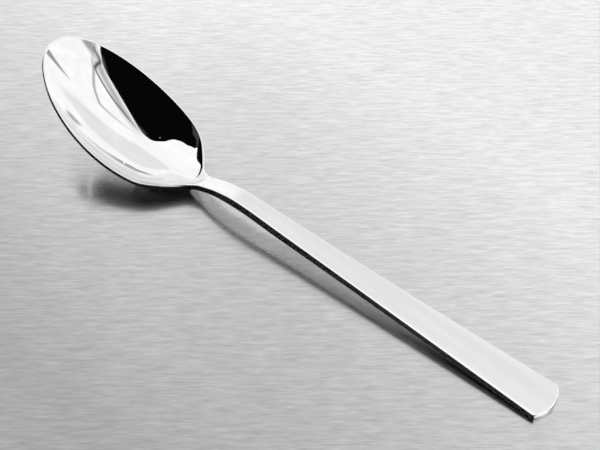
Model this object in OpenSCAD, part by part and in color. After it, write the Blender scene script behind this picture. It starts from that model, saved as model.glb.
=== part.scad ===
// Table spoon for soup, forged in one run of polished stainless steel.
// It lies on a table on the belly of its bowl and on the end of its handle.
// X runs from the tip of the bowl to the end of the handle, Y across, Z up.
// The origin is on the table, under the middle of the spoon.
// Bowl, neck and handle are the three stretches of the one forging.
// They meet face to face on planes square to X, the first just behind the bowl's heel.

/* [Spoon] */
// Overall length, tip of the bowl to end of the handle
spoon_l = 206; // [180:1:230]

/* [Bowl] */
// Length of the bowl's egg outline
bowl_l = 67.4; // [60:0.1:74]
// Greatest width of the bowl over its rim
bowl_w = 38.6; // [32:0.1:46]
// Depth of the hollow under the rim at the widest place
bowl_d = 8.2; // [7:0.1:12]
// Steel at the bottom of the bowl
wall_t = 1.1; // [0.9:0.02:2]
// Width of the flat rim
rim_w = 0.55; // [0.4:0.05:0.9]
// Height of the rim's outer edge
lip_h = 1.3; // [0.7:0.05:1.6]
// Height of the tip over the heel of the bowl
tip_rise = 27.2; // [18:0.1:32]
// How far the rim hangs below a straight line from tip to heel
rim_dip = 4.9; // [2:0.1:6]
// Distance from the end of the hollow to the point of the bowl's shoulders
heel_gap = 0.36; // [0.2:0.02:0.5]
// How full the outline is at the tip, as a power
tip_power = 0.48; // [0.42:0.01:0.6]
// How full the outline is at the heel, as a power
heel_power = 0.5; // [0.42:0.01:0.6]
// Roundness of the hollow, low for steep walls and a flat bottom
bowl_round = 0.56; // [0.3:0.01:1.5]

/* [Neck] */
// Width of the neck at its narrowest
neck_w = 5.8; // [5:0.1:8]
// Thickness of the steel at the point of the bowl's shoulders
heel_t = 2.65; // [1.5:0.05:3]
// Length of the neck, from the point of the bowl's shoulders to the handle
neck_l = 34.7; // [28:0.1:40]
// Height of the neck's crest over the heel of the bowl
crest_rise = 5.4; // [3:0.1:8]
// Distance of the crest from the point of the bowl's shoulders
crest_x = 17.6; // [14:0.1:22]
// Drop of the top face from the crest to the handle
crest_drop = 1.2; // [0.6:0.05:2]
// Size of the fillet between bowl and neck
fillet_w = 2.7; // [1.5:0.1:4]
// Length over which the bowl's outline turns into its straight shoulder
shoulder_l = 3.7; // [2:0.1:6]
// Slope of the shoulder in plan, across over along
shoulder_slope = 1.144; // [1:0.01:1.4]

/* [Handle] */
// Width of the handle at its end
end_w = 14; // [10:0.1:20]
// Thickness of the handle where it leaves the neck
handle_t = 3.7; // [2.4:0.05:4.4]
// Thickness of the handle at its end
end_t = 2; // [1.5:0.05:3]
// How far the curved end stands out past its corners
end_bow = 2.6; // [1:0.1:4]
// How far the top face hangs below a straight line
top_sag = 0.2; // [0:0.05:0.6]
// How fast the handle widens, as a power
flare_power = 1.3; // [1:0.05:1.8]
// Polished bevel along the edges of neck and handle
bevel = 0.25; // [0.1:0.05:0.4]
// Polished bevel along the rim and where bowl and neck meet
rim_bevel = 0.15; // [0.1:0.01:0.25]

/* [Hidden] */

// Counts of stations and facets
outline_n = 40;
cut_n = 4;
dish_n = 13;
neck_n = 26;
handle_n = 30;
across_n = 8;
rim_n = 2;
lift_n = 60;

// Share of the bowl's length after which its outline may turn into the shoulder
turn_share = 0.6;
// How far before the end of the egg the shoulder reaches the neck's width, of the fillet
fillet_share = 0.6;
// How far past the shoulders bowl and neck meet, and how far the neck is narrowest, of the fillet
join_share = 0.7;
narrow_share = 1.35;
// Radius of the hollow's round end, of half the neck's width
heel_round_share = 0.72;
// How sharply that round end meets the shoulders, as a power
heel_meet_power = 8;
// Share of the bowl's depth that follows its rings rather than its width
round_share = 0.5;
// Share of the bowl's length over which the belly leaves its rings and runs into the neck
fade_share = 0.18;
// Share of the bowl's length over which its rim runs into the neck
settle_share = 0.09;
// The middle of the climb from the heel to the crest, along and up, and its steepness
climb_x_share = 0.36;
climb_z_share = 0.7;
climb_slope_share = 1.9;
// Share of the bowl's length over which the lip thickens into the neck
lip_share = 0.25;
// Share of the neck's length over which its bevel grows
bevel_share = 0.3;

// Stations along the spoon, measured from the tip
neck_x0 = bowl_l - fillet_share * fillet_w;
heel_x = neck_x0 + neck_w / 2 / shoulder_slope;
join_x = heel_x + fillet_w * join_share;
handle_x = heel_x + neck_l;
neck_min_x = heel_x + fillet_w * narrow_share;
top_x = heel_x - settle_share * bowl_l;

half_w = bowl_w / 2;
hollow_x1 = heel_x - heel_gap;
hollow_l = hollow_x1 - rim_w;
hollow_half = half_w - rim_w;
heel_round = heel_round_share * neck_w / 2;
under_d = bowl_d + wall_t - lip_h;
centre_x = bowl_l / 2;
turn_x = turn_share * bowl_l;
fade_x = join_x - fade_share * bowl_l;

// A step from 0 to 1 with level ends
function step01(t) = let (c = max(0, min(1, t))) c * c * (3 - 2 * c);

// The larger of two values, rounded where they cross within k
function soft_max(a, b, k) = max(a, b) + pow(max(k - abs(a - b), 0), 2) / (4 * k);
function soft_min(a, b, k) = -soft_max(-a, -b, k);

// A cubic from (x0, z0) to (x1, z1) with slopes s0 and s1
function cubic(x, x0, z0, s0, x1, z1, s1) =
    let (h = x1 - x0)
    let (t = (x - x0) / h)
    let (a = z0 * (1 - 3 * t * t + 2 * t * t * t) + z1 * (3 * t * t - 2 * t * t * t))
    a + s0 * h * (t - 2 * t * t + t * t * t) + s1 * h * (t * t * t - t * t);

// Half the width of an egg of length len and half width half, at x from its tip
function egg(x, len, half) =
    let (u = max(0, min(1, x / len)))
    let (m = tip_power / (tip_power + heel_power))
    half * pow(u / m, tip_power) * pow((1 - u) / (1 - m), heel_power);

// The straight shoulder's half width, moved in by inset
function shoulder(x, inset) =
    neck_w / 2 + (neck_x0 - x) * shoulder_slope - inset * sqrt(1 + shoulder_slope * shoulder_slope);

// Half the width of the bowl over its rim, without the neck
function bowl_half(x) =
    let (e = egg(x, bowl_l, half_w))
    x < turn_x ? e : max(0, soft_min(e, shoulder(x, 0), shoulder_l));

// Half the width of the hollow at the rim's inner edge, with a round end between the shoulders
function hollow_half_w(x) =
    let (e = egg(x - rim_w, bowl_l - 2 * rim_w, hollow_half))
    let (s = max(0, soft_min(e, shoulder(x, rim_w), shoulder_l)))
    let (r = sqrt(2 * heel_round * max(0, hollow_x1 - x)))
    x < turn_x ? e : s > r ? s * meet(r / s) : r > 0 ? r * meet(s / r) : 0;

// How much wider the larger of two widths is where they meet, from the other's share of it
function meet(share) = pow(1 + pow(share, heel_meet_power), 1 / heel_meet_power);

// Half the width of neck and handle
function bar_half(x) =
    let (s = max(0, min(1, (x - neck_min_x) / (spoon_l - neck_min_x))))
    neck_w / 2 + (end_w - neck_w) / 2 * pow(s, flare_power);

// Half the width of the whole spoon in plan
function plan_half(x) =
    x < turn_x ? bowl_half(x) : soft_max(bowl_half(x), bar_half(x), fillet_w);

// Height of the rim over the heel, and its slope
function rim_raw(x) =
    let (v = 2 * x / bowl_l - 1)
    tip_rise / 2 * (1 - v) - rim_dip * (1 - v * v);
function rim_slope(x) =
    let (v = 2 * x / bowl_l - 1)
    (2 * rim_dip * v - tip_rise / 2) * 2 / bowl_l;

// How full the hollow is, 0 at the rim and 1 at the lowest place
function fullness(w) =
    let (c = sqrt(bowl_round))
    (sqrt(bowl_round + max(0, w)) - c) / (sqrt(bowl_round + 1) - c);

// Height of the lip's side, thickening into the neck and on to the crest
function lip(x) =
    lip_h + (heel_t - lip_h) * step01((x - heel_x + lip_share * bowl_l) / (lip_share * bowl_l))
    + (handle_t - heel_t) * step01((x - heel_x) / crest_x);

// Depths of the hollow and of the belly under the top face, s of the way out to their edge
function hollow_depth(x, y, s) =
    let (h = hollow_half_w(x))
    let (across = max(0, h * h - y * y) / (hollow_half * hollow_half))
    bowl_d * fullness((1 - round_share) * across + round_share * (1 - s * s));
function belly_depth(x, y, s) =
    let (h = bowl_half(x))
    let (across = max(0, h * h - y * y) / (half_w * half_w))
    let (stay = 1 - step01((x - fade_x) / (join_x - fade_x)))
    lip(x) + under_d * fullness((1 - round_share) * across + round_share * (1 - s * s) * stay);

// The heel's height is what puts the lowest point of the belly on the table
function middle_share(x) = (x - centre_x) / (x < centre_x ? rim_bevel - centre_x : join_x - centre_x);
heel_h = -min([for (i = [0 : lift_n])
    let (x = rim_bevel + (bowl_l - rim_bevel) * i / lift_n)
    rim_raw(x) - belly_depth(x, 0, middle_share(x))]);

// Heights of the top face
climb_x = heel_x + climb_x_share * crest_x;
crest_at = heel_x + crest_x;
climb_h = heel_h + climb_z_share * crest_rise;
crest_h = heel_h + crest_rise;
bar_h = crest_h - crest_drop;
climb_slope = climb_slope_share * (crest_h - climb_h) / (crest_at - climb_x);
bar_l = spoon_l - handle_x;
bar_slope = (end_t - bar_h) / bar_l;
sag_slope = 4 * top_sag / bar_l;

function top_h(x) =
    x < top_x ? heel_h + rim_raw(x)
    : x < climb_x ? cubic(x, top_x, heel_h + rim_raw(top_x), rim_slope(top_x), climb_x, climb_h, climb_slope)
    : x < crest_at ? cubic(x, climb_x, climb_h, climb_slope, crest_at, crest_h, 0)
    : x < handle_x ? cubic(x, crest_at, crest_h, 0, handle_x, bar_h, bar_slope - sag_slope)
    : cubic(x, handle_x, bar_h, bar_slope - sag_slope, spoon_l, end_t, bar_slope + sag_slope);

// Heights of the underside of neck and handle; the handle's is one flat plane
under_h0 = bar_h - handle_t;
under_slope = -under_h0 / bar_l;
function under_h(x) =
    x < crest_at ? top_h(x) - lip(x)
    : x < handle_x ? cubic(x, crest_at, crest_h - handle_t, 0, handle_x, under_h0, under_slope)
    : under_h0 + under_slope * (x - handle_x);

// Bowl, drawn as rings round its middle from the hollow out and under to the belly
ring_n = 2 * (outline_n + cut_n);
function half_turn(k) = k <= outline_n + cut_n ? k : ring_n - k;
function side(k) = k <= outline_n + cut_n ? 1 : -1;

function outline_x(k) = join_x * (1 - cos(180 * min(k, outline_n) / outline_n)) / 2;
function outer_pt(k) =
    let (j = half_turn(k))
    let (x = outline_x(j))
    [x, side(k) * (j <= outline_n ? plan_half(x) : plan_half(join_x) * (outline_n + cut_n - j) / cut_n)];
function inner_pt(k) =
    let (j = half_turn(k))
    let (x = rim_w + hollow_l * (1 - cos(180 * j / (outline_n + cut_n))) / 2)
    [x, side(k) * hollow_half_w(x)];

// The outline drawn in by d along its own normal; the cut face keeps its plane
function drawn_in(k, d) =
    let (j = half_turn(k))
    let (p = outer_pt(k))
    j == 0 ? [p[0] + d, 0]
    : j > outline_n ? p
    : j == outline_n ? [p[0], p[1] - side(k) * d]
    : let (a = outer_pt(k - 1))
      let (b = outer_pt(k + 1))
      let (n = [b[1] - a[1], a[0] - b[0]] / norm(b - a))
      p + n * d;

function at(p, z) = [p[0] - spoon_l / 2, p[1], z];
function toward_centre(p, s) = [centre_x + s * (p[0] - centre_x), s * p[1]];

function hollow_ring(s) = [for (k = [0 : ring_n - 1])
    let (p = toward_centre(inner_pt(k), s))
    at(p, top_h(p[0]) - hollow_depth(p[0], p[1], s))];
function rim_ring(s) = [for (k = [0 : ring_n - 1])
    let (p = inner_pt(k) * (1 - s) + drawn_in(k, rim_bevel) * s)
    at(p, top_h(p[0]))];
function edge_ring(drop) = [for (k = [0 : ring_n - 1])
    let (p = outer_pt(k))
    at(p, top_h(p[0]) - (drop > 0 ? drop : lip(p[0]) + drop))];
function belly_ring(s) = [for (k = [0 : ring_n - 1])
    let (p = toward_centre(drawn_in(k, rim_bevel), s))
    at(p, top_h(p[0]) - belly_depth(p[0], p[1], s))];

// Share of the way out of each ring, closer together toward the rim
function ring_share(j) = sin(90 * j / dish_n);

bowl_rings = concat(
    [for (j = [1 : dish_n]) hollow_ring(j == dish_n ? 1 : ring_share(j))],
    [for (i = [1 : rim_n]) rim_ring(i / rim_n)],
    [edge_ring(rim_bevel), edge_ring(-rim_bevel)],
    [for (j = [dish_n : -1 : 1]) belly_ring(j == dish_n ? 1 : ring_share(j))]);

// Triangles between ring r and ring r + 1, each of n points
function band_faces(r, n, first) = [for (k = [0 : n - 1])
    let (a = first + r * n + k)
    let (b = first + r * n + (k + 1) % n)
    each [[a, b, b + n], [a, b + n, a + n]]];

module bowl() {
    rings = len(bowl_rings);
    mid = [centre_x, 0];
    low = top_h(centre_x) - hollow_depth(centre_x, 0, 0);
    belly = top_h(centre_x) - belly_depth(centre_x, 0, 0);
    pts = concat([at(mid, low)], [for (r = bowl_rings) each r], [at(mid, belly)]);
    last = len(pts) - 1;
    faces = concat(
        [for (k = [0 : ring_n - 1]) [0, 1 + (k + 1) % ring_n, 1 + k]],
        [for (r = [0 : rings - 2]) each band_faces(r, ring_n, 1)],
        [for (k = [0 : ring_n - 1]) [last, last - ring_n + k, last - ring_n + (k + 1) % ring_n]]);
    color([0.86, 0.87, 0.88]) polyhedron(points = pts, faces = faces, convexity = 6);
}

// One cross-section of neck or handle: flat top and underside, upright sides, small bevels
function bar_section(x, bow, b) =
    let (w = bow > 0 ? bar_half(x) : plan_half(x))
    let (ys = [for (i = [0 : across_n]) (w - b) * (2 * i / across_n - 1)])
    concat(
        [for (y = ys) let (q = x - bow * y * y / (w * w)) at([q, y], under_h(q))],
        [let (q = x - bow) at([q, w], under_h(q) + b)],
        [let (q = x - bow) at([q, w], top_h(q) - b)],
        [for (i = [across_n : -1 : 0])
            let (y = ys[i])
            let (q = x - bow * y * y / (w * w))
            at([q, y], top_h(q))],
        [let (q = x - bow) at([q, -w], top_h(q) - b)],
        [let (q = x - bow) at([q, -w], under_h(q) + b)]);

// Triangles over one end of a loft, whose section starts at point f
sect_n = 2 * (across_n + 1) + 4;
function cap_faces(f) = concat(
    [for (i = [0 : across_n - 1])
        let (a = f + i)
        let (b = f + sect_n - 3 - i)
        each [[a, a + 1, b - 1], [a, b - 1, b]]],
    [for (i = [0, 1])
        let (a = f + (i == 0 ? across_n : sect_n - 3))
        each [[a, a + 1, a + 2], [a, a + 2, i == 0 ? a + 3 : f]]]);
function flipped(faces) = [for (t = faces) [t[0], t[2], t[1]]];

// A solid through cross-sections
module loft(sections) {
    m = len(sections);
    faces = concat(
        cap_faces(0),
        [for (r = [0 : m - 2]) for (k = [0 : sect_n - 1])
            let (a = r * sect_n + k)
            let (b = r * sect_n + (k + 1) % sect_n)
            each [[a, a + sect_n, b + sect_n], [a, b + sect_n, b]]],
        flipped(cap_faces((m - 1) * sect_n)));
    polyhedron(points = [for (s = sections) each s], faces = faces, convexity = 4);
}

module neck() {
    sections = [for (i = [0 : neck_n])
        let (x = join_x + (handle_x - join_x) * i / neck_n)
        bar_section(x, 0, rim_bevel + (bevel - rim_bevel) * step01((x - join_x) / (bevel_share * neck_l)))];
    color([0.82, 0.83, 0.85]) loft(sections);
}

module handle() {
    sections = [for (i = [0 : handle_n])
        let (t = i / handle_n)
        let (x = handle_x + bar_l * t)
        bar_section(x, end_bow * step01(t), bevel)];
    color([0.84, 0.85, 0.87]) loft(sections);
}

bowl();
neck();
handle();
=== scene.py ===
import logging
import math
from abc import ABC, abstractmethod
from collections.abc import Callable
from dataclasses import dataclass, field
from enum import Enum
from functools import cached_property
from typing import ClassVar

import bpy
import numpy as np
from mathutils import Matrix, Vector


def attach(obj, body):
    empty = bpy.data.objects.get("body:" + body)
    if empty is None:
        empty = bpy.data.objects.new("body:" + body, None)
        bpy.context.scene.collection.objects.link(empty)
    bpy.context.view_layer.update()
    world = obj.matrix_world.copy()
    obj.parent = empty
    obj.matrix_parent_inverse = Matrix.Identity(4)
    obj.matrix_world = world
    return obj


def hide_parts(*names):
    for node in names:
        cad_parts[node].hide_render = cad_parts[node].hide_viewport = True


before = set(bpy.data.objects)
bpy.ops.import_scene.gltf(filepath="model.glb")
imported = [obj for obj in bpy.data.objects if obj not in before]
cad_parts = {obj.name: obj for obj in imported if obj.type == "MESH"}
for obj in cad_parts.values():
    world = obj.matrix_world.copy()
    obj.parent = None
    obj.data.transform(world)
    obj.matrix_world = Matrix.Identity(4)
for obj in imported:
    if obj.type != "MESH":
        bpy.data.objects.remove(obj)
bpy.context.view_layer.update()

LOG = logging.getLogger("spoon")
MM = 0.001
ROOT_BODY = "root"
# How far the picture's right side is turned from the spoon's length, in degrees.
VIEW_TURN = 39.269
# Steps over which slopes are taken, in millimetres.
PLAN_STEP = 0.01
RISE_STEP = 0.05
# The same as a share of the way out over the bowl.
SHARE_STEP = 0.001

Array = np.ndarray
# Points, and the surface's normals there.
Surface = tuple[Array, Array]
# Place along the spoon, height and slope.
Station = tuple[float, float, float]
# Places in the map of the sky, a card's cover there, and its faces.
Patch = tuple[Array, Array, list[tuple[int, ...]]]
Tree = bpy.types.NodeTree
Socket = bpy.types.NodeSocket


class Stretch(Enum):
    """The three stretches of the one forging, by the names of their CAD nodes."""

    BOWL = "bowl"
    NECK = "neck"
    HANDLE = "handle"


def step01(t: Array) -> Array:
    """A step from 0 to 1 with level ends."""
    c = np.clip(t, 0.0, 1.0)
    return c * c * (3.0 - 2.0 * c)


def soft_max(a: Array, b: Array, k: float) -> Array:
    """The larger of two values, rounded where they cross within k."""
    return np.maximum(a, b) + np.maximum(k - np.abs(a - b), 0.0) ** 2 / (4.0 * k)


def cubic(x: Array, start: Station, end: Station) -> Array:
    """A cubic between two stations.

    Args:
        x: places along the spoon.
        start: place, height and slope at the near end.
        end: place, height and slope at the far end.

    Returns:
        The heights at x.
    """
    (x0, z0, s0), (x1, z1, s1) = start, end
    h = x1 - x0
    t = (x - x0) / h
    a = z0 * (1 - 3 * t**2 + 2 * t**3) + z1 * (3 * t**2 - 2 * t**3)
    return a + s0 * h * (t - 2 * t**2 + t**3) + s1 * h * (t**3 - t**2)


def unit(v: Array) -> Array:
    """The vectors of v, each of length one."""
    return v / np.maximum(np.linalg.norm(v, axis=-1, keepdims=True), 1e-12)


def slope_of(height: Callable[[Array], Array], x: Array, e: float) -> Array:
    """Slope of a height or a width at x, taken over e to either side."""
    return (height(x + e) - height(x - e)) / (2 * e)


def bend(a: Array, c: Array, b: Array, t: float | Array) -> Array:
    """The place t of the way from a to b, on the curve that rounds the corner c."""
    return (1 - t) ** 2 * a + 2 * t * (1 - t) * c + t * t * b


def rubbed(t: float | Array) -> float | Array:
    """How worn the polish is t of the way round an edge, 0 at its ends and 1 in the middle."""
    return 4 * t * (1 - t)


def add_object(name: str, data: bpy.types.ID) -> bpy.types.Object:
    """Adds an object to the scene.

    Args:
        name: the object's name.
        data: its mesh or its camera.

    Returns:
        The object.
    """
    made = bpy.data.objects.new(name, data)
    bpy.context.scene.collection.objects.link(made)
    return made


def new_material(name: str) -> tuple[bpy.types.Material, Tree]:
    """Makes a material with nodes.

    Args:
        name: the material's name.

    Returns:
        The material and its node tree.
    """
    made = bpy.data.materials.new(name)
    made.use_nodes = True
    return made, made.node_tree


def feed(tree: Tree, node: bpy.types.Node, inputs: dict[str | int, object]) -> None:
    """Sets a node's inputs.

    Args:
        tree: the tree that holds it.
        node: the node.
        inputs: for each input, by name or number, its value or the socket that feeds it.
    """
    for key, value in inputs.items():
        if isinstance(value, Socket):
            tree.links.new(value, node.inputs[key])
        else:
            node.inputs[key].default_value = value


def add_node(tree: Tree, kind: str, inputs: dict[str | int, object] | None = None,
             **options: str) -> bpy.types.Node:
    """Adds a shader node.

    Args:
        tree: the tree to add to.
        kind: the node's kind.
        inputs: what its inputs are set to, as feed takes them.
        options: its options.

    Returns:
        The node.
    """
    node = tree.nodes.new(f"ShaderNode{kind}")
    for key, value in options.items():
        setattr(node, key, value)
    feed(tree, node, inputs or {})
    return node


def add_sum(tree: Tree, operation: str, *terms: object) -> Socket:
    """Adds a sum of that kind, and returns the socket of its result."""
    return add_node(tree, "Math", dict(enumerate(terms)), operation=operation).outputs["Value"]


def add_range(tree: Tree, value: Socket, run: tuple[float, float], tones: tuple[float, float]) -> Socket:
    """Maps a value from one range to another.

    Args:
        tree: the tree to add to.
        value: the socket of the value.
        run: the range that it comes from.
        tones: the range that it goes to.

    Returns:
        The socket of the mapped value.
    """
    names = ("From Min", "From Max", "To Min", "To Max")
    limits = dict(zip(names, (*run, *tones)))
    return add_node(tree, "MapRange", {"Value": value, **limits}).outputs["Result"]


def add_streaks(tree: Tree, place: Socket, scale: tuple[float, float, float], detail: float) -> Socket:
    """Adds noise that is drawn out into streaks.

    Args:
        tree: the tree to add to.
        place: the socket of the places, in metres.
        scale: how many grains fit in a metre along each axis.
        detail: how many finer layers lie over the first.

    Returns:
        The socket of its height, from 0 to 1.
    """
    at = add_node(tree, "Mapping", {"Vector": place, "Scale": scale}).outputs["Vector"]
    return add_node(tree, "TexNoise", {"Vector": at, "Scale": 1.0, "Detail": detail}).outputs["Fac"]


@dataclass(frozen=True)
class Plan:
    """The spoon's outline seen from above, in millimetres from the tip of its bowl."""

    spoon_l: float = 206.0
    bowl_l: float = 67.4
    bowl_w: float = 38.6
    rim_w: float = 0.55
    rim_bevel: float = 0.15
    heel_gap: float = 0.36
    tip_power: float = 0.48
    heel_power: float = 0.5
    neck_w: float = 5.8
    neck_l: float = 34.7
    fillet_w: float = 2.7
    shoulder_l: float = 3.7
    shoulder_slope: float = 1.144
    end_w: float = 14.0
    flare_power: float = 1.3
    turn_share: float = 0.6
    fillet_share: float = 0.6
    join_share: float = 0.7
    narrow_share: float = 1.35
    heel_round_share: float = 0.72
    heel_meet_power: float = 8.0

    @property
    def neck_x0(self) -> float:
        """Where the shoulder would reach the neck's width."""
        return self.bowl_l - self.fillet_share * self.fillet_w

    @property
    def heel_x(self) -> float:
        """The point at which the bowl's shoulders would meet."""
        return self.neck_x0 + self.neck_w / 2 / self.shoulder_slope

    @property
    def join_x(self) -> float:
        """Where the bowl meets the neck."""
        return self.heel_x + self.join_share * self.fillet_w

    @property
    def handle_x(self) -> float:
        """Where the neck meets the handle."""
        return self.heel_x + self.neck_l

    @property
    def hollow_x1(self) -> float:
        """Where the hollow ends."""
        return self.heel_x - self.heel_gap

    @property
    def hollow_w(self) -> float:
        """Half the width of the hollow at the rim's inner edge."""
        return self.bowl_w / 2 - self.rim_w

    def egg(self, x: Array, length: float, half: float) -> Array:
        """Half the width of an egg.

        Args:
            x: places from its tip.
            length: its length.
            half: half its greatest width.

        Returns:
            Half its width at x.
        """
        u = np.clip(x / length, 0.0, 1.0)
        m = self.tip_power / (self.tip_power + self.heel_power)
        return half * (u / m) ** self.tip_power * ((1 - u) / (1 - m)) ** self.heel_power

    def shoulder(self, x: Array, inset: float) -> Array:
        """The straight shoulder's half width, moved in by inset."""
        lean = math.hypot(1.0, self.shoulder_slope)
        return self.neck_w / 2 + (self.neck_x0 - x) * self.shoulder_slope - inset * lean

    def _turned(self, x: Array, egg: Array, straight: Array) -> Array:
        """The egg, turned softly into a straight shoulder past the turn."""
        turned = np.maximum(0.0, -soft_max(-egg, -straight, self.shoulder_l))
        return np.where(x < self.turn_share * self.bowl_l, egg, turned)

    def bowl_half(self, x: Array) -> Array:
        """Half the width of the bowl over its rim, without the neck."""
        return self._turned(x, self.egg(x, self.bowl_l, self.bowl_w / 2), self.shoulder(x, 0.0))

    def hollow_half(self, x: Array) -> Array:
        """Half the width of the hollow, with a round end between the shoulders.

        Args:
            x: places along the spoon.

        Returns:
            Half the width at the rim's inner edge.
        """
        egg = self.egg(x - self.rim_w, self.bowl_l - 2 * self.rim_w, self.hollow_w)
        flank = self._turned(x, egg, self.shoulder(x, self.rim_w))
        end = np.sqrt(self.heel_round_share * self.neck_w * np.maximum(0.0, self.hollow_x1 - x))
        power = self.heel_meet_power
        joined = (flank**power + end**power) ** (1 / power)
        return np.where(x < self.turn_share * self.bowl_l, egg, joined)

    def bar_half(self, x: Array) -> Array:
        """Half the width of neck and handle.

        Args:
            x: places along the spoon.

        Returns:
            Half the width there.
        """
        x0 = self.heel_x + self.fillet_w * self.narrow_share
        s = np.clip((x - x0) / (self.spoon_l - x0), 0.0, 1.0)
        return self.neck_w / 2 + (self.end_w - self.neck_w) / 2 * s**self.flare_power

    def half(self, x: Array) -> Array:
        """Half the width of the whole spoon."""
        both = soft_max(self.bowl_half(x), self.bar_half(x), self.fillet_w)
        return np.where(x < self.turn_share * self.bowl_l, self.bowl_half(x), both)


@dataclass(frozen=True)
class Forging:
    """The spoon's heights over the table, in millimetres."""

    plan: Plan = field(default_factory=Plan)
    bowl_d: float = 8.2
    wall_t: float = 1.1
    lip_h: float = 1.3
    tip_rise: float = 27.2
    rim_dip: float = 4.9
    bowl_round: float = 0.56
    heel_t: float = 2.65
    crest_rise: float = 5.4
    crest_x: float = 17.6
    crest_drop: float = 1.2
    handle_t: float = 3.7
    end_t: float = 2.0
    end_bow: float = 2.6
    top_sag: float = 0.2
    settle_share: float = 0.09
    climb_x_share: float = 0.36
    climb_z_share: float = 0.7
    climb_slope_share: float = 1.9
    lip_share: float = 0.25
    round_share: float = 0.5
    fade_share: float = 0.18
    blend_l: float = 3.0
    blend_n: int = 25
    lift_n: int = 60

    def fullness(self, w: Array) -> Array:
        """How full the hollow is, 0 at the rim and 1 at the lowest place."""
        low, high = math.sqrt(self.bowl_round), math.sqrt(self.bowl_round + 1)
        return (np.sqrt(self.bowl_round + np.maximum(0.0, w)) - low) / (high - low)

    def rim_raw(self, x: Array) -> Array:
        """Height of the rim over the heel."""
        v = 2 * x / self.plan.bowl_l - 1
        return self.tip_rise / 2 * (1 - v) - self.rim_dip * (1 - v * v)

    def rim_slope(self, x: float) -> float:
        """Slope of the rim along the spoon."""
        v = 2 * x / self.plan.bowl_l - 1
        return (2 * self.rim_dip * v - self.tip_rise / 2) * 2 / self.plan.bowl_l

    def lip(self, x: Array) -> Array:
        """Height of the lip's side, which thickens into the neck and on to the crest.

        Args:
            x: places along the spoon.

        Returns:
            The height of the side there.
        """
        run, heel_x = self.lip_share * self.plan.bowl_l, self.plan.heel_x
        grown = (self.heel_t - self.lip_h) * step01((x - heel_x + run) / run)
        return self.lip_h + grown + (self.handle_t - self.heel_t) * step01((x - heel_x) / self.crest_x)

    def hollow_depth(self, x: Array, y: Array, s: Array) -> Array:
        """Depth of the hollow under the top face.

        Args:
            x: places along the spoon.
            y: places across it.
            s: how far out they lie, 0 in the middle and 1 at the edge.

        Returns:
            The depth there.
        """
        across = np.maximum(0.0, self.plan.hollow_half(x) ** 2 - y * y) / self.plan.hollow_w**2
        full = (1 - self.round_share) * across + self.round_share * (1 - s * s)
        return self.bowl_d * self.fullness(full)

    def belly_depth(self, x: Array, y: Array, s: Array) -> Array:
        """Depth of the belly under the top face.

        Args:
            x: places along the spoon.
            y: places across it.
            s: how far out they lie, 0 in the middle and 1 at the edge.

        Returns:
            The depth there.
        """
        plan = self.plan
        across = np.maximum(0.0, plan.bowl_half(x) ** 2 - y * y) / (plan.bowl_w / 2) ** 2
        run = self.fade_share * plan.bowl_l
        stay = 1 - step01((x - plan.join_x + run) / run)
        full = (1 - self.round_share) * across + self.round_share * (1 - s * s) * stay
        return self.lip(x) + (self.bowl_d + self.wall_t - self.lip_h) * self.fullness(full)

    @cached_property
    def heel_h(self) -> float:
        """Height of the heel.

        Returns:
            The height that puts the lowest point of the belly on the table.
        """
        plan = self.plan
        x, centre = np.linspace(plan.rim_bevel, plan.bowl_l, self.lift_n + 1), plan.bowl_l / 2
        s = (x - centre) / np.where(x < centre, plan.rim_bevel - centre, plan.join_x - centre)
        return -float(np.min(self.rim_raw(x) - self.belly_depth(x, 0.0 * x, s)))

    def _top_edges(self, x: Array) -> Array:
        """Height of the top face as the CAD has it, in stretches that meet without a kink.

        Args:
            x: places along the spoon.

        Returns:
            The height there.
        """
        p, heel = self.plan, self.heel_h
        top_x = p.heel_x - self.settle_share * p.bowl_l
        climb_x, crest_at = p.heel_x + self.climb_x_share * self.crest_x, p.heel_x + self.crest_x
        climb_h, crest_h = heel + self.climb_z_share * self.crest_rise, heel + self.crest_rise
        climb_slope = self.climb_slope_share * (crest_h - climb_h) / (crest_at - climb_x)
        bar_l, bar_h = p.spoon_l - p.handle_x, crest_h - self.crest_drop
        bar_slope, sag_slope = (self.end_t - bar_h) / bar_l, 4 * self.top_sag / bar_l
        rim = (top_x, heel + float(self.rim_raw(np.float64(top_x))), self.rim_slope(top_x))
        climb, crest = (climb_x, climb_h, climb_slope), (crest_at, crest_h, 0.0)
        bar = (p.handle_x, bar_h, bar_slope - sag_slope)
        end = (p.spoon_l, self.end_t, bar_slope + sag_slope)
        return np.select(
            [x < top_x, x < climb_x, x < crest_at, x < p.handle_x],
            [heel + self.rim_raw(x), cubic(x, rim, climb), cubic(x, climb, crest),
             cubic(x, crest, bar)],
            cubic(x, bar, end))

    def top_h(self, x: Array) -> Array:
        """Height of the top face, its stretches blended so that its reflections flow.

        Args:
            x: places along the spoon.

        Returns:
            The height there.
        """
        x = np.asarray(x, float)
        share = np.linspace(-1.0, 1.0, self.blend_n)
        weight = (1 + np.cos(math.pi * share)) / np.sum(1 + np.cos(math.pi * share))
        reach = self.blend_l * np.clip((self.plan.spoon_l - x) / self.blend_l, 0.0, 1.0)
        reach = reach * step01((x - self.plan.bowl_l / 2) / self.blend_l)
        return sum(w * self._top_edges(x + s * reach) for w, s in zip(weight, share))

    def under_h(self, x: Array) -> Array:
        """Height of the underside of neck and handle.

        Args:
            x: places along the spoon.

        Returns:
            The height there.
        """
        p = self.plan
        crest_at, crest_h = p.heel_x + self.crest_x, self.heel_h + self.crest_rise
        under_h0 = crest_h - self.crest_drop - self.handle_t
        slope = -under_h0 / (p.spoon_l - p.handle_x)
        crest, bar = (crest_at, crest_h - self.handle_t, 0.0), (p.handle_x, under_h0, slope)
        return np.select(
            [x < crest_at, x < p.handle_x],
            [self.top_h(x) - self.lip(x), cubic(x, crest, bar)],
            under_h0 + slope * (x - p.handle_x))


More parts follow.
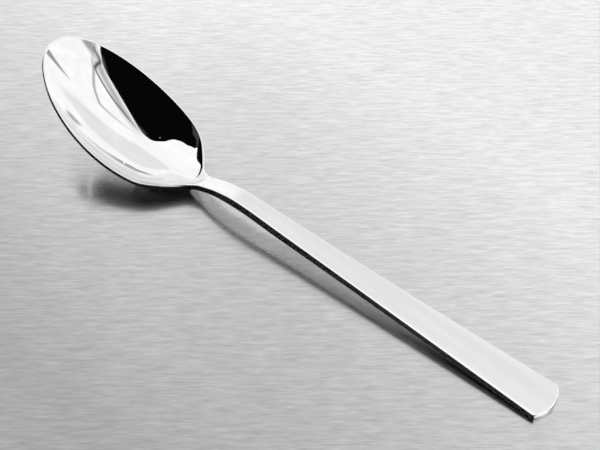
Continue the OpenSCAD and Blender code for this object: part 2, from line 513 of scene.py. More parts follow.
class Skin:
    """A closed mesh in the making, with the true normal of the surface at each corner."""

    def __init__(self, name: str) -> None:
        """Starts an empty skin.

        Args:
            name: the name that its object gets.
        """
        self.name = name
        self.points: list[Array] = []
        self.normals: list[Array] = []
        self.wear: list[Array] = []
        self.faces: list[tuple[int, ...]] = []
        self.flat: list[tuple[int, ...]] = []
        self.flat_out: list[tuple[float, float, float]] = []
        self.count = 0

    def ring(self, points: Array, normals: Array, wear: float | Array = 0.0) -> int:
        """Adds a row of points.

        Args:
            points: their places in millimetres, x from the tip.
            normals: the surface's normal at each.
            wear: how much the polish has worn there, from 0 to 1.

        Returns:
            The number of the row's first point.
        """
        first = self.count
        self.points.append(points)
        self.normals.append(unit(normals))
        self.wear.append(np.zeros(len(points)) + wear)
        self.count += len(points)
        return first

    def band(self, a: int, b: int, n: int) -> None:
        """Joins two closed rows of n points, which start at a and b, with quads."""
        self.faces.extend((a + k, a + (k + 1) % n, b + (k + 1) % n, b + k) for k in range(n))

    def fan(self, pole: int, row: int, n: int) -> None:
        """Joins a pole to a closed row of n points."""
        self.faces.extend((pole, row + k, row + (k + 1) % n) for k in range(n))

    def build(self, shift: float) -> bpy.types.Object:
        """Makes the Blender object.

        Args:
            shift: place of the tip along X, in millimetres.

        Returns:
            The object, its mesh in metres in the row frame.
        """
        co = np.concatenate(self.points) + np.array([shift, 0.0, 0.0])
        no = np.concatenate(self.normals)
        faces = self.faces + self.flat
        size = np.array([len(f) for f in faces])
        first = np.concatenate([[0], np.cumsum(size)[:-1]])
        corner_at = np.concatenate([np.array(f) for f in faces])
        following = np.arange(len(corner_at)) + 1
        following[first + size - 1] = first
        area = np.add.reduceat(np.cross(co[corner_at], co[corner_at[following]]), first)
        out = np.add.reduceat(no[corner_at], first)
        if self.flat:
            out[len(self.faces) :] = np.array(self.flat_out)
        faces = [f if same else f[::-1] for f, same in zip(faces, (area * out).sum(1) > 0)]
        mesh = bpy.data.meshes.new(self.name)
        mesh.from_pydata((co * MM).tolist(), [], faces)
        mesh.update()
        mesh.polygons.foreach_set("use_smooth", np.ones(len(faces), bool))
        corner = no[np.concatenate([np.array(f) for f in faces])]
        if self.flat:
            start = first[len(self.faces)]
            corner[start:] = np.repeat(np.array(self.flat_out), size[len(self.faces) :], axis=0)
        mesh.normals_split_custom_set(corner.tolist())
        worn = mesh.attributes.new("wear", "FLOAT", "POINT")
        worn.data.foreach_set("value", np.concatenate(self.wear).astype(np.float32))
        return add_object(self.name, mesh)

    def cap(self, face: tuple[int, ...], out: tuple[float, float, float]) -> None:
        """Adds a flat face that looks along out."""
        self.flat.append(face)
        self.flat_out.append(out)


def rounded(skin: Skin, rows: tuple[Array, Array, Array], normals: tuple[Array, Array],
            steps: int) -> list[int]:
    """Adds the rows of a rounded edge.

    Args:
        skin: the skin to add to.
        rows: where the rounding starts, the sharp corner it replaces, and where it ends.
        normals: the normals at its start and at its end.
        steps: how many bands it has.

    Returns:
        The numbers of the rows' first points.
    """
    a, c, b = rows
    firsts = []
    for i in range(steps + 1):
        t = i / steps
        firsts.append(skin.ring(bend(a, c, b, t), (1 - t) * normals[0] + t * normals[1], rubbed(t)))
    return firsts


@dataclass(frozen=True)
class PolishedSteel:
    """Mirror-polished stainless steel with faint lengthwise polishing lines and worn edges."""

    name: str
    tone: float = 0.92
    tone_change: float = 0.09
    blue: float = 1.004
    cloud_run: tuple[float, float] = (0.3, 0.7)
    cloud_scale: tuple[float, float, float] = (9.0, 260.0, 260.0)
    cloud_detail: float = 3.0
    line_scale: tuple[float, float, float] = (40.0, 4000.0, 4000.0)
    line_detail: float = 4.0
    gloss: float = 0.025
    line_gloss: float = 0.02
    worn_gloss: float = 0.06
    wave_l: float = 0.016
    wave_h: float = 0.000002

    def build(self) -> bpy.types.Material:
        """Makes the node material.

        Returns:
            The material.
        """
        mat, tree = new_material(self.name)
        place = add_node(tree, "TexCoord").outputs["Object"]
        lines = add_streaks(tree, place, self.line_scale, self.line_detail)
        cloud = add_streaks(tree, place, self.cloud_scale, self.cloud_detail)
        wave = add_node(tree, "TexNoise", {"Vector": place, "Scale": 1.0 / self.wave_l, "Detail": 1.0})
        worn = add_node(tree, "Attribute", attribute_name="wear").outputs["Fac"]
        tone = add_range(tree, cloud, self.cloud_run, (self.tone - self.tone_change, self.tone))
        blue = add_sum(tree, "MULTIPLY", tone, self.blue)
        colour = add_node(tree, "CombineColor", {"Red": tone, "Green": tone, "Blue": blue})
        fine = add_sum(tree, "MULTIPLY_ADD", lines, self.line_gloss, self.gloss)
        rough = add_sum(tree, "MULTIPLY_ADD", worn, self.worn_gloss, fine)
        bump = add_node(tree, "Bump", {
            "Strength": 1.0, "Distance": self.wave_h, "Height": wave.outputs["Fac"]})
        feed(tree, tree.nodes["Principled BSDF"], {
            "Metallic": 1.0, "Base Color": colour.outputs["Color"], "Roughness": rough,
            "Normal": bump.outputs["Normal"]})
        return mat


@dataclass
class Bowl:
    """The bowl: hollow, flat rim, lip and belly."""

    stretch: ClassVar[Stretch] = Stretch.BOWL
    forging: Forging
    outline_n: int = 144
    cut_n: int = 10
    dish_n: int = 44
    edge_n: int = 5
    foot_n: int = 5
    wall_n: int = 3
    rim_r: float = 0.3
    rim_drop: float = 0.6
    bead_h: float = 0.35
    bead_run: float = 20.0
    foot_r: float = 0.3
    foot_in: float = 0.75
    inner_r: float = 0.18
    inner_share: float = 0.4
    flat_n: int = 4

    @property
    def ring_n(self) -> int:
        """How many points go once round."""
        return 2 * (self.outline_n + self.cut_n)

    def _turn(self) -> tuple[Array, Array]:
        """Goes once round the bowl.

        Returns:
            The place of each point along one half of the outline, and its side.
        """
        k = np.arange(self.ring_n)
        half_n = self.outline_n + self.cut_n
        return np.where(k <= half_n, k, self.ring_n - k), np.where(k <= half_n, 1.0, -1.0)

    def outer(self) -> Array:
        """The outline, and the cut across the heel that closes it.

        Returns:
            Its points in plan.
        """
        plan = self.forging.plan
        j, side = self._turn()
        x = plan.join_x * (1 - np.cos(math.pi * np.minimum(j, self.outline_n) / self.outline_n)) / 2
        over = np.clip((self.outline_n + self.cut_n - j) / self.cut_n, 0.0, 1.0)
        return np.stack([x, side * plan.half(x) * over], -1)

    def inner(self) -> Array:
        """The rim's inner edge.

        Returns:
            Its points in plan.
        """
        plan = self.forging.plan
        j, side = self._turn()
        way = (1 - np.cos(math.pi * j / (self.outline_n + self.cut_n))) / 2
        x = plan.rim_w + (plan.hollow_x1 - plan.rim_w) * way
        return np.stack([x, side * plan.hollow_half(x)], -1)

    def outward(self) -> Array:
        """The outline's normals, square to the spoon on the cut.

        Returns:
            The normal in plan at each point of the outline.
        """
        j, side = self._turn()
        p = self.outer()
        run = np.roll(p, -1, axis=0) - np.roll(p, 1, axis=0)
        n = unit(np.stack([run[:, 1], -run[:, 0]], -1)) * -1.0
        n[0] = (-1.0, 0.0)
        plan = self.forging.plan
        slope = slope_of(plan.half, np.float64(plan.join_x), PLAN_STEP)
        n[j == self.outline_n] = unit(np.array([-float(slope), 1.0]))
        n[:, 1] = np.where((j == self.outline_n) & (side < 0), -n[:, 1], n[:, 1])
        n[j > self.outline_n] = (1.0, 0.0)
        return n

    def drawn_in(self, d: float) -> Array:
        """The outline drawn in along its normals, while the cut keeps its plane.

        Args:
            d: how far it is drawn in.

        Returns:
            Its points in plan.
        """
        j, side = self._turn()
        corner, cut = j == self.outline_n, j > self.outline_n
        p = self.outer()
        q = p - self.outward() * d
        q[corner] = p[corner] - np.stack([0 * side, side * d], -1)[corner]
        q[cut] = p[cut]
        return q

    def on_top(self, p: Array) -> Array:
        """Points of the top face over those of the plan."""
        return np.column_stack([p, self.forging.top_h(p[:, 0])])

    def top_normal(self, p: Array) -> Array:
        """Normals of the top face over points of the plan."""
        slope = slope_of(self.forging.top_h, p[:, 0], RISE_STEP)
        return unit(np.stack([-slope, 0 * slope, 1 + 0 * slope], -1))

    def dish(self, edge: Array, s: Array, belly: bool) -> Surface:
        """Points and normals of one ring of the hollow, or of the belly.

        Args:
            edge: the edge that the rings run out to, in plan.
            s: how far out each point of the ring lies, 0 in the middle and 1 at the edge.
            belly: whether it is the belly.

        Returns:
            The points, and the surface's normals there.
        """
        f = self.forging
        depth = f.belly_depth if belly else f.hollow_depth

        def height(x: Array, y: Array, s: Array) -> Array:
            """Height of the surface."""
            return f.top_h(x) - depth(x, y, s)

        arm = edge - self.centre
        run = np.roll(edge, -1, axis=0) - np.roll(edge, 1, axis=0)
        out = np.stack([run[:, 1], -run[:, 0]], -1)
        grow = out / (out * arm).sum(1)[:, None]
        x, y = (self.centre + arm * s[:, None]).T
        zs = slope_of(lambda v: height(x, y, v), s, SHARE_STEP)
        zx = slope_of(lambda v: height(v, y, s), x, PLAN_STEP) + zs * grow[:, 0]
        zy = slope_of(lambda v: height(x, v, s), y, PLAN_STEP) + zs * grow[:, 1]
        n = unit(np.stack([-zx, -zy, 1 + 0 * x], -1))
        return np.column_stack([x, y, height(x, y, s)]), -n if belly else n

    @property
    def centre(self) -> Array:
        """The middle of the bowl's rings in plan."""
        return np.array([self.forging.plan.bowl_l / 2, 0.0])

    def wall_lines(self) -> tuple[Array, Array]:
        """The outer wall, which is square to the tilted rim.

        Returns:
            Which way it runs down from each point of the outline, and its normals.
        """
        j, p, bowl_l = self._turn()[0], self.outer(), self.forging.plan.bowl_l
        slope = np.where(p[:, 0] < bowl_l, self.forging.rim_slope(p[:, 0]), 0.0)
        lean = slope * step01((bowl_l - p[:, 0]) / self.bead_run)
        lean[j >= self.outline_n] = 0.0
        down = unit(np.column_stack([lean, 0 * lean, -1 + 0 * lean]))
        rim = self.on_top(p)
        run = np.roll(rim, -1, axis=0) - np.roll(rim, 1, axis=0)
        n = unit(np.cross(run, down))
        out = np.column_stack([self.outward(), 0 * lean])
        n = n * np.sign((n * out).sum(1))[:, None]
        return down, np.where((j >= self.outline_n)[:, None] | (j == 0)[:, None], out, n)

    def _rim(self, skin: Skin, inner: Array, drawn: Array, share: Array) -> list[int]:
        """Adds the rim's inner rounding and its flat.

        Args:
            skin: the skin to add to.
            inner: the rim's inner edge.
            drawn: where the rounding of its outer edge starts.
            share: how far out the rounding of its inner edge starts, of the way to that edge.

        Returns:
            The numbers of the rows' first points.
        """
        a, a_n = self.dish(inner, share, False)
        gap = drawn - inner
        reach = np.minimum(self.inner_share, self.inner_r / np.linalg.norm(gap, axis=1))
        b = inner + gap * reach[:, None]
        places = (a, self.on_top(inner), self.on_top(b))
        rows = rounded(skin, places, (a_n, self.top_normal(b)), self.edge_n)
        for t in np.linspace(0, 1, self.flat_n + 1)[1:-1]:
            m = b * (1 - t) + drawn * t
            rows.append(skin.ring(self.on_top(m), self.top_normal(m)))
        return rows

    def _wall(self, skin: Skin, drawn: Array, foot: Array) -> list[int]:
        """Adds the outer wall between its upper and its lower rounding.

        Args:
            skin: the skin to add to.
            drawn: where the upper rounding starts on the rim.
            foot: where the lower rounding ends on the belly.

        Returns:
            The numbers of the rows' first points.
        """
        f, outer, cut = self.forging, self.outer(), self._turn()[0] > self.outline_n
        down, side_n = self.wall_lines()
        bead = self.bead_h * step01((f.plan.bowl_l - outer[:, 0]) / self.bead_run)
        lip = f.lip(outer[:, 0]) + bead
        c = self.on_top(outer)
        wall = c + down * self.rim_drop
        normals = (self.top_normal(drawn), side_n)
        rows = rounded(skin, (self.on_top(drawn), c, wall), normals, 2 * self.edge_n)
        c = c + down * lip[:, None]
        a = c - down * self.foot_r
        for t in np.linspace(0, 1, self.wall_n + 1)[1:-1]:
            rows.append(skin.ring(wall * (1 - t) + a * t, side_n))
        b, b_n = self.dish(foot, np.ones(self.ring_n), True)
        b[cut] = c[cut]
        return rows + rounded(skin, (a, c, b), (side_n, b_n), self.foot_n)

    def mesh(self) -> bpy.types.Object:
        """Builds the bowl's mesh, from the middle of the hollow over the rim to that of the belly.

        Returns:
            Its object.
        """
        skin, n = Skin(f"{self.stretch.value}_polished"), self.ring_n
        inner, drawn, foot = self.inner(), self.drawn_in(self.rim_r), self.drawn_in(self.foot_in)
        share = 1 - self.inner_r / np.linalg.norm(inner - self.centre, axis=1)
        turns = [math.sin(math.pi / 2 * k / self.dish_n) for k in range(1, self.dish_n)]
        low, low_n = self.dish(inner, np.zeros(n), False)
        pole = skin.ring(low[:1], low_n[:1])
        rows = [skin.ring(*self.dish(inner, turn * share, False)) for turn in turns]
        rows += self._rim(skin, inner, drawn, share)
        rows += self._wall(skin, drawn, foot)
        rows += [skin.ring(*self.dish(foot, turn + np.zeros(n), True)) for turn in reversed(turns)]
        bottom, bottom_n = self.dish(foot, np.zeros(n), True)
        sole = skin.ring(bottom[:1], bottom_n[:1])
        skin.fan(pole, rows[0], n)
        for r0, r1 in zip(rows, rows[1:]):
            skin.band(r0, r1, n)
        skin.fan(sole, rows[-1], n)
        return skin.build(-self.forging.plan.spoon_l / 2)


@dataclass
class Bar(ABC):
    """A stretch of the bar behind the bowl: flat top, upright sides and a flat underside."""

    stretch: ClassVar[Stretch]
    forging: Forging
    station_n: int = 60
    across_n: int = 16
    edge_n: int = 5
    side_n: int = 3
    top_r: float = 0.2
    under_r: float = 0.4
    crown_w: float = 1.0
    crown_lean: float = 0.2

    @property
    @abstractmethod
    def span(self) -> tuple[float, float]:
        """Where its even part starts and ends along the spoon."""

    @property
    def bow(self) -> float:
        """How far its end bends back at its sides."""
        return 0.0

    def half(self, x: Array) -> Array:
        """Half its width."""
        return self.forging.plan.half(x)

    def round_end(self, skin: Skin, a: Array, a_n: Array) -> list[int]:
        """Adds the rows that round its end off, of which a cut has none."""
        return []

    def _flat(self, top: bool, x: Array, y: Array, sunk: float | Array) -> Surface:
        """Points and normals of the top face or of the underside.

        Args:
            top: whether it is the top face.
            x: places along the spoon.
            y: places across it.
            sunk: how far they lie inside the face.

        Returns:
            The points, and the normals there.
        """
        height = self.forging.top_h if top else self.forging.under_h
        way = 1.0 if top else -1.0
        n = np.stack([-slope_of(height, x, RISE_STEP), 0 * x, 1 + 0 * x], -1) * way
        return np.stack([x, y, height(x) - way * sunk], -1), unit(n)

    def sections(self, x: Array, bow: Array, inset: float = 0.0, drop: float = 0.0) -> tuple[Array, ...]:
        """Cross-sections, each once round from the underside's left.

        Args:
            x: their places at the middle of the spoon.
            bow: how far each bends back at its sides.
            inset: how far their sides are drawn in.
            drop: how far their top and underside are drawn in.

        Returns:
            Their points, normals and wear, a row for each section.
        """
        x, bow = x[:, None], bow[:, None]
        half = self.half(x)
        h = half - inset

        def back(y: Array) -> Array:
            """Place along the spoon of the points at y."""
            return x - bow * (y / half) ** 2

        across = np.linspace(-1.0, 1.0, self.across_n + 1)[None]
        side_x = back(h)
        side_slope = slope_of(self.half, side_x, RISE_STEP)
        side_n = unit(np.stack([-side_slope, 1 + 0 * side_x, 0 * side_x], -1))
        parts: list[tuple[Array, Array, Array]] = []
        corners = []
        for top in (False, True):
            way, r = (-1.0, self.top_r) if top else (1.0, self.under_r)
            lean = self.crown_lean if top else 0.0
            sunk = drop + lean * self.crown_w / 2
            a, a_n = self._flat(top, back(h - r), h - r, sunk)
            a_n = unit(a_n + lean * side_n)
            c, _ = self._flat(top, side_x, h, sunk)
            b = c + np.array([0.0, 0.0, way * r])
            t = np.linspace(0, 1, self.edge_n + 1)[None, :, None]
            pts, nor = bend(a, c, b, t), unit((1 - t) * a_n + t * side_n)
            wear = np.broadcast_to(rubbed(t), nor.shape)[..., 0]
            first = 0 if top else 1
            corners.append((pts[:, first:], nor[:, first:], wear[:, first:]))
        low, high = corners[0], tuple(v[:, ::-1] for v in corners[1])
        t = np.linspace(0, 1, self.side_n + 1)[None, 1:-1, None]
        side = low[0][:, -1:] * (1 - t) + high[0][:, :1] * t
        side = (side, np.broadcast_to(side_n, side.shape), np.zeros(side.shape[:2]))
        right = [np.concatenate(v, axis=1) for v in zip(low, side, high)]
        left = [right[0][:, ::-1] * [1, -1, 1], right[1][:, ::-1] * [1, -1, 1], right[2][:, ::-1]]
        under_y, top_y = across * (h - self.under_r), -across * (h - self.top_r - self.crown_w)
        for top, y in ((False, under_y), (True, top_y)):
            pts, nor = self._flat(top, back(y), y, drop)
            parts.append((pts, nor, np.zeros(pts.shape[:2])))
        return tuple(np.concatenate(v, axis=1) for v in zip(parts[0], right, parts[1], left))

    def mesh(self) -> bpy.types.Object:
        """Builds the stretch's mesh.

        Returns:
            Its object.
        """
        skin, (x0, x1) = Skin(f"{self.stretch.value}_polished"), self.span
        t = np.linspace(0, 1, self.station_n + 1)
        pts, nor, wear = self.sections(x0 + (x1 - x0) * t, self.bow * step01(t))
        n = pts.shape[1]
        firsts = [skin.ring(p, m, w) for p, m, w in zip(pts, nor, wear)]
        end = self.round_end(skin, pts[-1], nor[-1])
        firsts += end
        for a, b in zip(firsts, firsts[1:]):
            skin.band(a, b, n)
        self._close(skin, firsts[0], n, False)
        self._close(skin, firsts[-1], n, bool(end))
        return skin.build(-self.forging.plan.spoon_l / 2)

    def _close(self, skin: Skin, first: int, n: int, smooth: bool) -> None:
        """Closes one end.

        Args:
            skin: the skin to add to.
            first: the number of the first point of the end's row.
            n: how many points that row has.
            smooth: whether it is the bowed end face, and not a flat cut.
        """
        m = self.across_n + 1
        s = (n - 2 * m) // 2
        faces = [(first + i, first + i + 1, first + m + s + m - 2 - i, first + m + s + m - 1 - i)
                 for i in range(self.across_n)]
        faces.append(tuple(range(first + m - 1, first + m + s + 1)))
        faces.append((*range(first + 2 * m + s - 1, first + n), first))
        for face in faces:
            if smooth:
                skin.faces.append(face)
            else:
                skin.cap(face, (-1.0 if first == 0 else 1.0, 0.0, 0.0))


@dataclass
class Neck(Bar):
    """The neck: it climbs out of the heel and arches over the crest."""

    stretch: ClassVar[Stretch] = Stretch.NECK

    @property
    def span(self) -> tuple[float, float]:
        """From the bowl to the handle."""
        return self.forging.plan.join_x, self.forging.plan.handle_x


@dataclass
class Handle(Bar):
    """The handle: it widens steadily to a bowed and rounded end."""

    stretch: ClassVar[Stretch] = Stretch.HANDLE
    station_n: int = 110
    end_more: float = 0.25
    end_r: float = 0.95
    end_in: float = 0.15

    @property
    def end_x(self) -> float:
        """The middle of its end, a little past the end of the solid."""
        return self.forging.plan.spoon_l + self.end_more

    @property
    def span(self) -> tuple[float, float]:
        """From the neck to the rounding of the end."""
        return self.forging.plan.handle_x, self.end_x - self.end_r

    @property
    def bow(self) -> float:
        """How far its end bends back at its sides."""
        return self.forging.end_bow

    def half(self, x: Array) -> Array:
        """Half its width."""
        return self.forging.plan.bar_half(x)

    def round_end(self, skin: Skin, a: Array, a_n: Array) -> list[int]:
        """Adds the rounding between the handle and its bowed end face.

        Args:
            skin: the skin to add to.
            a: the last section's points.
            a_n: the normals there.

        Returns:
            The numbers of the rows' first points.
        """
        one, bow = np.array([self.end_x]), np.array([self.bow])
        c = self.sections(one, bow)[0][0]
        b = self.sections(one, bow, self.end_in, self.end_r)[0][0]
        face_slope = 2 * self.bow * b[:, 1] / self.half(one) ** 2
        b_n = unit(np.stack([1 + 0 * b[:, 1], face_slope, 0 * b[:, 1]], -1))
        return rounded(skin, (a, c, b), (a_n, b_n), self.edge_n)[1:]


@dataclass(frozen=True)
class Card:
    """A card of the studio, seen only in the polish: a patch of the sky round the spoon.

    Its places are those of a round map of the sky: the zenith in the middle, the
    horizon at radius one, the far side up and the right side right as the camera looks.
    A card with a width is a strip along its path, and any other fills its path.
    """

    name: str
    path: tuple[tuple[float, float], ...]
    glow: float
    width: float = 0.0
    soft: float = 0.0
    distance: float = 2.0
    taper: float = 0.25
    steps: int = 6

    def _curve(self, closed: bool) -> Array:
        """A smooth curve through the places of the path.

        Args:
            closed: whether it runs back to its start.

        Returns:
            The points of the curve.
        """
        knots, n = np.array(self.path), len(self.path)
        rows = []
        for i in range(n if closed else n - 1):
            pick = [(i + k) % n if closed else min(max(i + k, 0), n - 1) for k in (-1, 0, 1, 2)]
            p0, p1, p2, p3 = knots[pick]
            for t in np.linspace(0, 1, self.steps, endpoint=False):
                rows.append(0.5 * (2 * p1 + (p2 - p0) * t + (2 * p0 - 5 * p1 + 4 * p2 - p3) * t**2
                                   + (3 * p1 - p0 - 3 * p2 + p3) * t**3))
        return np.array(rows if closed else [*rows, knots[-1]])

    def _patch(self) -> Patch:
        """A patch with a soft border.

        Returns:
            Its places, its cover there, and its faces.
        """
        edge = self._curve(True)
        middle, m = edge.mean(0), len(edge)
        inner = edge + (middle - edge) * self.soft
        flat = np.vstack([edge, inner, middle])
        cover = np.concatenate([np.zeros(m) if self.soft else np.ones(m), np.ones(m + 1)])
        faces = [(k, (k + 1) % m, m + (k + 1) % m, m + k) for k in range(m)]
        return flat, cover, faces + [(2 * m, m + k, m + (k + 1) % m) for k in range(m)]

    def _strip(self) -> Patch:
        """A strip that fades out to both sides and to its ends.

        Returns:
            Its places, its cover there, and its faces.
        """
        line = self._curve(False)
        run, m = unit(np.gradient(line, axis=0)), len(line)
        side = np.stack([-run[:, 1], run[:, 0]], -1) * self.width / 2
        taper = np.minimum(1.0, np.minimum(np.linspace(0, 1, m), np.linspace(1, 0, m)) / self.taper)
        flat = np.vstack([line - side, line, line + side])
        cover = np.concatenate([np.zeros(m), taper, np.zeros(m)])
        starts = [r + k for r in (0, m) for k in range(m - 1)]
        return flat, cover, [(k, k + 1, m + k + 1, m + k) for k in starts]

    def build(self) -> bpy.types.Object:
        """Makes the card, hidden from the camera.

        Returns:
            Its object.
        """
        flat, cover, faces = self._strip() if self.width else self._patch()
        r2 = (flat**2).sum(1)
        sky = np.column_stack([2 * flat[:, 0], 2 * flat[:, 1], 1 - r2]) / (1 + r2)[:, None]
        a = math.radians(VIEW_TURN)
        x = sky[:, 0] * math.cos(a) - sky[:, 1] * math.sin(a)
        y = sky[:, 0] * math.sin(a) + sky[:, 1] * math.cos(a)
        mesh = bpy.data.meshes.new(self.name)
        mesh.from_pydata((np.column_stack([x, y, sky[:, 2]]) * self.distance).tolist(), [], faces)
        covered = mesh.attributes.new("cover", "FLOAT", "POINT")
        covered.data.foreach_set("value", cover.astype(np.float32))
        card = add_object(self.name, mesh)
        mesh.materials.append(self._material())
        card.visible_camera = False
        return card

    def _material(self) -> bpy.types.Material:
        """An even glow that fades out where the card's cover does.

        Returns:
            The material.
        """
        mat, tree = new_material(self.name)
        tree.nodes.clear()
        glow = add_node(tree, "Emission", {"Color": (self.glow, self.glow, self.glow, 1.0)})
        clear = add_node(tree, "BsdfTransparent")
        cover = add_node(tree, "Attribute", attribute_name="cover")
        mix = add_node(tree, "MixShader", {
            "Fac": cover.outputs["Fac"], 1: clear.outputs["BSDF"], 2: glow.outputs["Emission"]})
        add_node(tree, "OutputMaterial", {"Surface": mix.outputs["Shader"]})
        return mat


@dataclass(frozen=True)
class Studio:
    """Table top, white tent and camera."""

    table_l: float = 8.0
    glow: float = 1.08
    # Painted shade: the table's colour runs from dark on the near side to pale on the far side.
    table_shade_tones: tuple[float, float] = (0.4, 0.93)
    table_shade_run: tuple[float, float] = (-0.09, 0.085)
    table_shade_way: tuple[float, float] = (0.089, 1.0)
    table_gloss: tuple[float, float] = (0.16, 0.32)
    wide_share: float = 0.2
    table_brush: float = 0.8
    line_scales: tuple[tuple[float, float], ...] = ((2100.0, 210.0), (750.0, 90.0))
    line_detail: float = 3.0
    line_tone: float = 0.45
    line_h: float = 0.000012
    eye: tuple[float, float, float] = (0.161926, -0.188939, 0.287869)
    look: tuple[float, float, float] = (-0.420727, 0.514596, -0.747114)
    roll: float = -0.10
    lens: float = 69.0
    sensor: float = 36.0
    clip: tuple[float, float] = (0.01, 50.0)

    def camera(self) -> bpy.types.Object:
        """Sets up the camera at the photograph's angle.

        Returns:
            Its object.
        """
        cam = add_object("camera", bpy.data.cameras.new("camera"))
        cam.data.lens, cam.data.sensor_width = self.lens, self.sensor
        look = Vector(self.look).normalized()
        right = look.cross(Vector((0, 0, 1))).normalized()
        up = right.cross(look)
        a = math.radians(self.roll)
        r, u = right * math.cos(a) + up * math.sin(a), -right * math.sin(a) + up * math.cos(a)
        turn = Matrix((r, u, -look)).transposed().to_4x4()
        cam.matrix_world = Matrix.Translation(self.eye) @ turn
        cam.data.clip_start, cam.data.clip_end = self.clip
        bpy.context.scene.camera = cam
        return cam

    def tent(self) -> None:
        """A plain white tent of light all round."""
        world = bpy.data.worlds.new("tent")
        bpy.context.scene.world = world
        world.use_nodes = True
        tree = world.node_tree
        feed(tree, tree.nodes["Background"], {"Color": (1.0, 1.0, 1.0, 1.0), "Strength": self.glow})

    def table(self) -> bpy.types.Object:
        """Makes the brushed table top that the spoon lies on.

        Returns:
            Its object.
        """
        s = self.table_l / 2
        mesh = bpy.data.meshes.new("table_top")
        mesh.from_pydata([(-s, -s, 0), (s, -s, 0), (s, s, 0), (-s, s, 0)], [], [(0, 1, 2, 3)])
        a = math.radians(VIEW_TURN)
        across = (-math.sin(a), math.cos(a))
        brush = mesh.uv_layers.new(name="brush")
        for loop in mesh.loops:
            x, y, _ = mesh.vertices[loop.vertex_index].co
            brush.data[loop.index].uv = (x * across[0] + y * across[1], -x * across[1] + y * across[0])
        top = add_object("table_top", mesh)
        mesh.materials.append(self._brushed_metal())
        return top

    def _brushed_metal(self) -> bpy.types.Material:
        """Brushed metal, a sharp gloss mixed with a wide one, its colour darkened towards the near side
        as painted shade.

        Returns:
            The material.
        """
        mat, tree = new_material("table_top")
        tree.nodes.remove(tree.nodes["Principled BSDF"])
        lines, ragged = self._brushing(tree)
        place = add_node(tree, "TexCoord").outputs["Object"]
        # Painted shade: the table's base colour is made darker towards the near side, from 0.93 down to
        # 0.4.
        way = (*self.table_shade_way, 0.0)
        along = add_node(tree, "VectorMath", {0: place, 1: way}, operation="DOT_PRODUCT")
        tone = add_range(tree, along.outputs["Value"], self.table_shade_run, self.table_shade_tones)
        colour = add_sum(tree, "MULTIPLY", tone, lines)
        brushed = add_node(tree, "Tangent", direction_type="UV_MAP", uv_map="brush")
        shine, haze = (add_node(tree, "BsdfPrincipled", {
            "Base Color": colour, "Metallic": 1.0, "Roughness": gloss, "Anisotropic": self.table_brush,
            "Tangent": brushed.outputs["Tangent"], "Normal": ragged}) for gloss in self.table_gloss)
        both = add_node(tree, "MixShader", {
            "Fac": self.wide_share, 1: shine.outputs["BSDF"], 2: haze.outputs["BSDF"]})
        feed(tree, tree.nodes["Material Output"], {"Surface": both.outputs["Shader"]})
        return mat

    def _brushing(self, tree: Tree) -> tuple[Socket, Socket]:
        """Adds the brushed lines of the table.

        Args:
            tree: the table's node tree.

        Returns:
            The sockets of their tone, about 1, and of the normals that they make ragged.
        """
        place = add_node(tree, "UVMap", uv_map="brush").outputs["UV"]
        fine, coarse = (add_streaks(tree, place, (*scale, 1.0), self.line_detail)
                        for scale in self.line_scales)
        both = add_sum(tree, "ADD", fine, coarse)
        tone = add_sum(tree, "MULTIPLY_ADD", both, self.line_tone, 1.0 - self.line_tone)
        bump = add_node(tree, "Bump", {"Strength": 1.0, "Distance": self.line_h, "Height": fine})
        return tone, bump.outputs["Normal"]


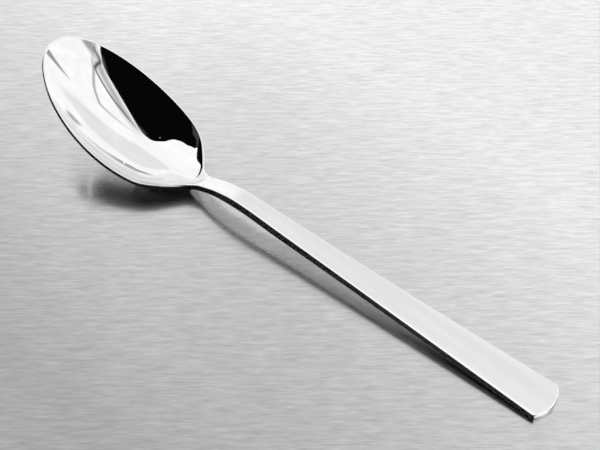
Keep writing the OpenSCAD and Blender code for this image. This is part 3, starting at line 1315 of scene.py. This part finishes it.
# The cards of the studio, by their places in the round map of the sky.
CARDS = (
    Card("black_card", (
        (-0.535, 0.2925), (-0.5, 0.2825), (-0.425, 0.205), (-0.345, 0.1375), (-0.29, 0.085),
        (-0.24, 0.055), (-0.19, 0.038), (-0.145, 0.05), (-0.1, 0.075), (-0.0375, 0.0925),
        (0.0, 0.1), (0.0375, 0.0875), (0.075, 0.0625), (0.1, 0.02), (0.125, -0.05),
        (0.15, -0.1125), (0.1875, -0.2), (0.2125, -0.2625), (0.2175, -0.325), (0.2, -0.3875),
        (0.18, -0.45), (0.145, -0.515), (0.13, -0.6), (0.13, -0.9), (0.0, -0.97), (-0.35, -0.9),
        (-0.7, -0.67), (-0.92, -0.3), (-0.96, 0.0), (-0.93, 0.25), (-0.85, 0.45), (-0.75, 0.56),
        (-0.66, 0.5), (-0.63, 0.38)), 0.002, distance=3.2),
    Card("grey_card", (
        (-0.535, 0.27), (-0.56, 0.2), (-0.53, 0.1), (-0.49, 0.0), (-0.55, -0.1), (-0.62, -0.13),
        (-0.7, 0.0), (-0.68, 0.16), (-0.6, 0.26)), 0.05, distance=1.95),
    Card("pale_card", (
        (-0.08, 0.54), (-0.1, 0.36), (-0.03, 0.25), (0.1, 0.21), (0.25, 0.2), (0.38, 0.2),
        (0.5, 0.22), (0.62, 0.32), (0.5, 0.43), (0.3, 0.5), (0.1, 0.54)), 0.9, soft=0.2, distance=2.4),
    Card("grey_strip", (
        (0.06, 0.09), (0.13, 0.03), (0.175, -0.05), (0.21, -0.13), (0.245, -0.22), (0.24, -0.3),
        (0.21, -0.42)), 0.45, width=0.11, distance=1.97),
    Card("seam_a", (
        (0.10, 0.06), (0.133, 0.017), (0.233, -0.083), (0.292, -0.192), (0.275, -0.25),
        (0.225, -0.317), (0.233, -0.4), (0.19, -0.467)), 0.02, width=0.03, distance=1.7),
    Card("seam_b", (
        (0.083, 0.1), (0.2, 0.092), (0.317, 0.067), (0.333, 0.042), (0.342, -0.033),
        (0.333, -0.1), (0.308, -0.2), (0.292, -0.283),
        (0.233, -0.417)), 0.35, width=0.026, distance=1.7),
    Card("grey_patch", (
        (0.48, 0.11), (0.6, 0.15), (0.74, 0.2), (0.76, 0.08),
        (0.6, 0.085)), 0.35, soft=0.5, distance=1.7),
    Card("near_patch", (
        (0.2, -0.32), (0.3, -0.3), (0.38, -0.4), (0.32, -0.52),
        (0.2, -0.5)), 0.4, soft=0.6, distance=1.85),
    Card("far_patch", (
        (0.44, 0.56), (0.47, 0.7), (0.53, 0.72), (0.54, 0.6), (0.5, 0.55)), 0.5, soft=0.6, distance=1.7),
    Card("low_card", (
        (0.66, -0.36), (0.9, -0.3), (0.96, -0.1), (0.97, 0.12), (0.88, 0.14),
        (0.72, -0.02)), 0.004, distance=3.0),
    Card("far_seam", (
        (0.02, 0.7), (0.1, 0.675), (0.2, 0.665), (0.34, 0.69)), 0.03, width=0.07, distance=1.7))


def main() -> None:
    """Builds the studio and the spoon, and reports each piece."""
    logging.basicConfig(level=logging.INFO, format="%(message)s")
    scene = bpy.context.scene
    scene.view_settings.view_transform = "Standard"
    studio = Studio()
    studio.camera()
    studio.tent()
    studio.table()
    for card in CARDS:
        card.build()
    forging = Forging()
    for part in (Bowl(forging), Neck(forging), Handle(forging)):
        piece, node = part.mesh(), part.stretch
        slot = f"polished_steel_{node.value}"
        piece.data.materials.append(PolishedSteel(slot).build())
        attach(piece, ROOT_BODY)
        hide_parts(node.value)
        LOG.info("%s: %d faces", piece.name, len(piece.data.polygons))


if __name__ == "__main__":
    main()
